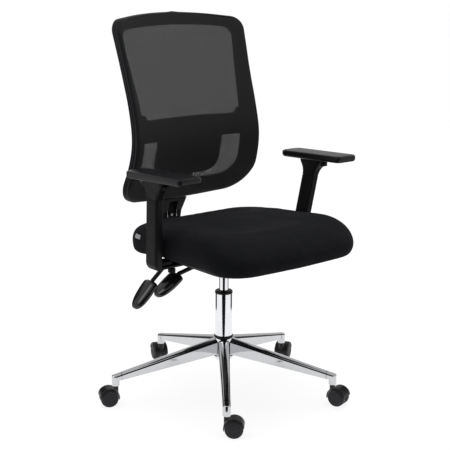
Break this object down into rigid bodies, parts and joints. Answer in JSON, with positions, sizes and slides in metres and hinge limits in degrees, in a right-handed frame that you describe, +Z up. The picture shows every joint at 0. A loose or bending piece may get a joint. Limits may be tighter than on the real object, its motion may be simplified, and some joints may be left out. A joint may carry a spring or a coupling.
{
  "type": "swivel office chair",
  "caption": "Swivel office chair with a mesh back, padded seat, height-adjustable arms, gas lift and a chromed star base on twin-wheel casters.",
  "frame": {"origin": "on the floor, under the middle of the chair's bounding box", "axes": "+Z up, the sitter faces -Y, the sitter's left is +X"},
  "size_m": [0.7132, 0.705, 1.077],
  "materials": {
    "chrome": "polished",
    "black_steel": "satin black powder coat",
    "zinc_steel": "zinc plated",
    "black_nylon": "fine texture",
    "gloss_black": "gloss",
    "caster_tread": "satin nylon",
    "seat_fabric": "plain weave, black",
    "mesh_fabric": "open knitted mesh, black",
    "white_nylon": "satin"
  },
  "bodies": {
    "base": {"base_hub": "chrome", "hub_ring": "black_nylon", "base_leg_1": "chrome", "base_leg_2": "chrome", "base_leg_3": "chrome", "base_leg_4": "chrome", "base_leg_5": "chrome", "column_tube": "chrome", "guide_sleeve": "white_nylon", "column_collar": "black_nylon", "thrust_bearing": "zinc_steel"},
    "lift_rod": {"gas_rod": "zinc_steel"},
    "seat": {"gas_cylinder": "chrome", "mechanism_body": "black_steel", "recline_pin": "zinc_steel", "seat_shell": "black_nylon", "seat_cushion": "seat_fabric", "arm_bracket_right": "black_nylon", "arm_knob_right": "black_nylon", "arm_bracket_left": "black_nylon", "arm_knob_left": "black_nylon"},
    "lift_lever": {"lift_lever_shaft": "black_nylon", "lift_lever_paddle": "gloss_black"},
    "tilt_lever": {"tilt_lever_shaft": "black_nylon", "tilt_lever_paddle": "gloss_black"},
    "recline": {"back_spine": "black_steel"},
    "back": {"back_carrier": "black_nylon", "back_frame": "black_nylon", "back_mesh": "mesh_fabric"},
    "arm_right": {"arm_post_right": "black_nylon", "arm_pad_right": "black_nylon"},
    "button_right": {"arm_button_right": "black_nylon"},
    "arm_left": {"arm_post_left": "black_nylon", "arm_pad_left": "black_nylon"},
    "button_left": {"arm_button_left": "black_nylon"},
    "caster_1": {"caster_1_housing": "black_nylon", "caster_1_stem": "zinc_steel", "caster_1_axle": "zinc_steel"},
    "wheel_1a": {"caster_1_wheel_a": "caster_tread"},
    "wheel_1b": {"caster_1_wheel_b": "caster_tread"},
    "caster_2": {"caster_2_housing": "black_nylon", "caster_2_stem": "zinc_steel", "caster_2_axle": "zinc_steel"},
    "wheel_2a": {"caster_2_wheel_a": "caster_tread"},
    "wheel_2b": {"caster_2_wheel_b": "caster_tread"},
    "caster_3": {"caster_3_housing": "black_nylon", "caster_3_stem": "zinc_steel", "caster_3_axle": "zinc_steel"},
    "wheel_3a": {"caster_3_wheel_a": "caster_tread"},
    "wheel_3b": {"caster_3_wheel_b": "caster_tread"},
    "caster_4": {"caster_4_housing": "black_nylon", "caster_4_stem": "zinc_steel", "caster_4_axle": "zinc_steel"},
    "wheel_4a": {"caster_4_wheel_a": "caster_tread"},
    "wheel_4b": {"caster_4_wheel_b": "caster_tread"},
    "caster_5": {"caster_5_housing": "black_nylon", "caster_5_stem": "zinc_steel", "caster_5_axle": "zinc_steel"},
    "wheel_5a": {"caster_5_wheel_a": "caster_tread"},
    "wheel_5b": {"caster_5_wheel_b": "caster_tread"}
  },
  "joints": [
    {"name": "seat_swivel", "type": "hinge", "parent": "base", "child": "lift_rod", "pos_m": [-0.0036, -0.0198, 0.0995], "axis": [0, 0, 1], "continuous": true},
    {"name": "seat_height", "type": "slide", "parent": "lift_rod", "child": "seat", "axis": [0, 0, 1], "range_m": [-0.035, 0.065]},
    {"name": "lift_lever_pull", "type": "hinge", "parent": "seat", "child": "lift_lever", "pos_m": [-0.0816, -0.0398, 0.3945], "axis": [0, 1, 0], "range_deg": [0, 4], "stiffness_Nm_per_rad": 1.5, "springref_deg": -4.3},
    {"name": "tilt_lever_pull", "type": "hinge", "parent": "seat", "child": "tilt_lever", "pos_m": [-0.0816, 0.0402, 0.3945], "axis": [0, 1, 0], "range_deg": [0, 4], "stiffness_Nm_per_rad": 1.5, "springref_deg": -4.3},
    {"name": "arm_right_height", "type": "slide", "parent": "seat", "child": "arm_right", "axis": [-0.0837, -0.1497, 0.9852], "range_m": [0, 0.07]},
    {"name": "button_right_press", "type": "slide", "parent": "arm_right", "child": "button_right", "axis": [0, 1, 0], "range_m": [0, 0.004], "stiffness_N_per_m": 300, "springref_m": -0.003},
    {"name": "arm_left_height", "type": "slide", "parent": "seat", "child": "arm_left", "axis": [0.0837, -0.1497, 0.9852], "range_m": [0, 0.07]},
    {"name": "button_left_press", "type": "slide", "parent": "arm_left", "child": "button_left", "axis": [0, 1, 0], "range_m": [0, 0.004], "stiffness_N_per_m": 300, "springref_m": -0.003},
    {"name": "back_recline", "type": "hinge", "parent": "seat", "child": "recline", "pos_m": [-0.0036, 0.0772, 0.3925], "axis": [-1, 0, 0], "range_deg": [0, 18]},
    {"name": "back_height", "type": "slide", "parent": "recline", "child": "back", "axis": [0, 0, 1], "range_m": [-0.01, 0.05]},
    {"name": "caster_1_swivel", "type": "hinge", "parent": "base", "child": "caster_1", "pos_m": [-0.20149, -0.27127, 0.0565], "axis": [0, 0, 1], "continuous": true},
    {"name": "wheel_1a_roll", "type": "hinge", "parent": "caster_1", "child": "wheel_1a", "pos_m": [-0.1871, -0.28517, 0.025], "axis": [0.6947, 0.7193, 0], "continuous": true},
    {"name": "wheel_1b_roll", "type": "hinge", "parent": "caster_1", "child": "wheel_1b", "pos_m": [-0.1871, -0.28517, 0.025], "axis": [0.6947, 0.7193, 0], "continuous": true},
    {"name": "caster_2_swivel", "type": "hinge", "parent": "base", "child": "caster_2", "pos_m": [0.17441, -0.28572, 0.0565], "axis": [0, 0, 1], "continuous": true},
    {"name": "wheel_2a_roll", "type": "hinge", "parent": "caster_2", "child": "wheel_2a", "pos_m": [0.17993, -0.30494, 0.025], "axis": [0.9613, 0.2756, 0], "continuous": true},
    {"name": "wheel_2b_roll", "type": "hinge", "parent": "caster_2", "child": "wheel_2b", "pos_m": [0.17993, -0.30494, 0.025], "axis": [0.9613, 0.2756, 0], "continuous": true},
    {"name": "caster_3_swivel", "type": "hinge", "parent": "base", "child": "caster_3", "pos_m": [0.30431, 0.06733, 0.0565], "axis": [0, 0, 1], "continuous": true},
    {"name": "wheel_3a_roll", "type": "hinge", "parent": "caster_3", "child": "wheel_3a", "pos_m": [0.32163, 0.07733, 0.025], "axis": [-0.5, 0.866, 0], "continuous": true},
    {"name": "wheel_3b_roll", "type": "hinge", "parent": "caster_3", "child": "wheel_3b", "pos_m": [0.32163, 0.07733, 0.025], "axis": [-0.5, 0.866, 0], "continuous": true},
    {"name": "caster_4_swivel", "type": "hinge", "parent": "base", "child": "caster_4", "pos_m": [0.00868, 0.29996, 0.0565], "axis": [0, 0, 1], "continuous": true},
    {"name": "wheel_4a_roll", "type": "hinge", "parent": "caster_4", "child": "wheel_4a", "pos_m": [0.01486, 0.31899, 0.025], "axis": [-0.9511, 0.309, 0], "continuous": true},
    {"name": "wheel_4b_roll", "type": "hinge", "parent": "caster_4", "child": "wheel_4b", "pos_m": [0.01486, 0.31899, 0.025], "axis": [-0.9511, 0.309, 0], "continuous": true},
    {"name": "caster_5_swivel", "type": "hinge", "parent": "base", "child": "caster_5", "pos_m": [-0.30392, 0.0907, 0.0565], "axis": [0, 0, 1], "continuous": true},
    {"name": "wheel_5a_roll", "type": "hinge", "parent": "caster_5", "child": "wheel_5a", "pos_m": [-0.32233, 0.09851, 0.025], "axis": [-0.3907, -0.9205, 0], "continuous": true},
    {"name": "wheel_5b_roll", "type": "hinge", "parent": "caster_5", "child": "wheel_5b", "pos_m": [-0.32233, 0.09851, 0.025], "axis": [-0.3907, -0.9205, 0], "continuous": true}
  ]
}
